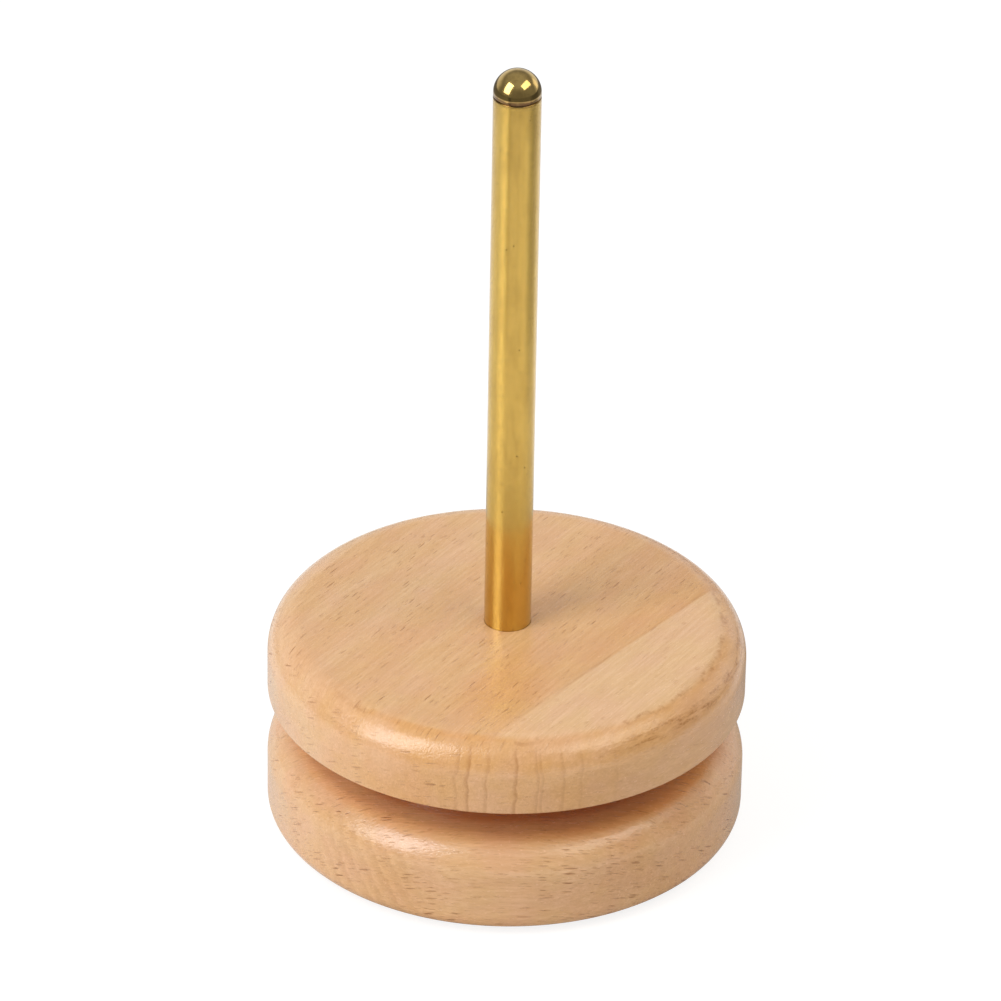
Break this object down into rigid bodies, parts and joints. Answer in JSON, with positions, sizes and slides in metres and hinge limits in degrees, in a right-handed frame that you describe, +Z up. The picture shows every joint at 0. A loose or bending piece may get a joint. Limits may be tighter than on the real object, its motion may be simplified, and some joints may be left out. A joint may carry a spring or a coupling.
{
  "type": "yarn ball holder",
  "caption": "Free-standing yarn ball holder: a beech turntable with an upright brass spindle and a domed end, turning on a ball bearing over a rounded beech base.",
  "frame": {"origin": "middle of the surface that the feet stand on", "axes": "+Z up along the spindle, which is the axis the turntable turns on; +X and +Y point at two of the base screws"},
  "size_m": [0.102, 0.102, 0.1783],
  "materials": {
    "beech_base": "satin lacquered beech, flecked along the grain",
    "beech_turntable": "satin lacquered beech, flecked along the grain",
    "brass_satin": "drawn satin brass with fine marks",
    "brass_polished": "polished brass",
    "bearing_aluminium": "turned, fine circular lines",
    "cage_nylon": "moulded, slightly translucent white",
    "ball_steel": "ground and polished steel",
    "zinc_steel": "zinc plated",
    "foot_rubber": "matt moulded rubber"
  },
  "bodies": {
    "base": {"base_disc": "beech_base", "bearing_outer_ring": "bearing_aluminium", "base_screws": "zinc_steel", "foot_1": "foot_rubber", "foot_2": "foot_rubber", "foot_3": "foot_rubber", "foot_4": "foot_rubber"},
    "turntable": {"turntable_disc": "beech_turntable", "bearing_inner_ring": "bearing_aluminium", "turntable_screws": "zinc_steel", "spindle_tube": "brass_satin", "dome_cap": "brass_polished", "thread_plug": "brass_polished", "clamp_screw": "zinc_steel", "clamp_washer": "zinc_steel"},
    "ball_train": {"ball_cage": "cage_nylon", "bearing_ball_1": "ball_steel", "bearing_ball_2": "ball_steel", "bearing_ball_3": "ball_steel", "bearing_ball_4": "ball_steel", "bearing_ball_5": "ball_steel", "bearing_ball_6": "ball_steel", "bearing_ball_7": "ball_steel", "bearing_ball_8": "ball_steel", "bearing_ball_9": "ball_steel", "bearing_ball_10": "ball_steel", "bearing_ball_11": "ball_steel", "bearing_ball_12": "ball_steel", "bearing_ball_13": "ball_steel", "bearing_ball_14": "ball_steel", "bearing_ball_15": "ball_steel", "bearing_ball_16": "ball_steel"}
  },
  "joints": [
    {"name": "turntable_spin", "type": "hinge", "parent": "base", "child": "turntable", "pos_m": [0, 0, 0.0263], "axis": [0, 0, 1], "continuous": true},
    {"name": "ball_orbit", "type": "hinge", "parent": "base", "child": "ball_train", "pos_m": [0, 0, 0.0263], "axis": [0, 0, 1], "continuous": true}
  ],
  "couplings": [
    {"joint": "ball_orbit", "follows": "turntable_spin", "ratio": 0.46}
  ]
}
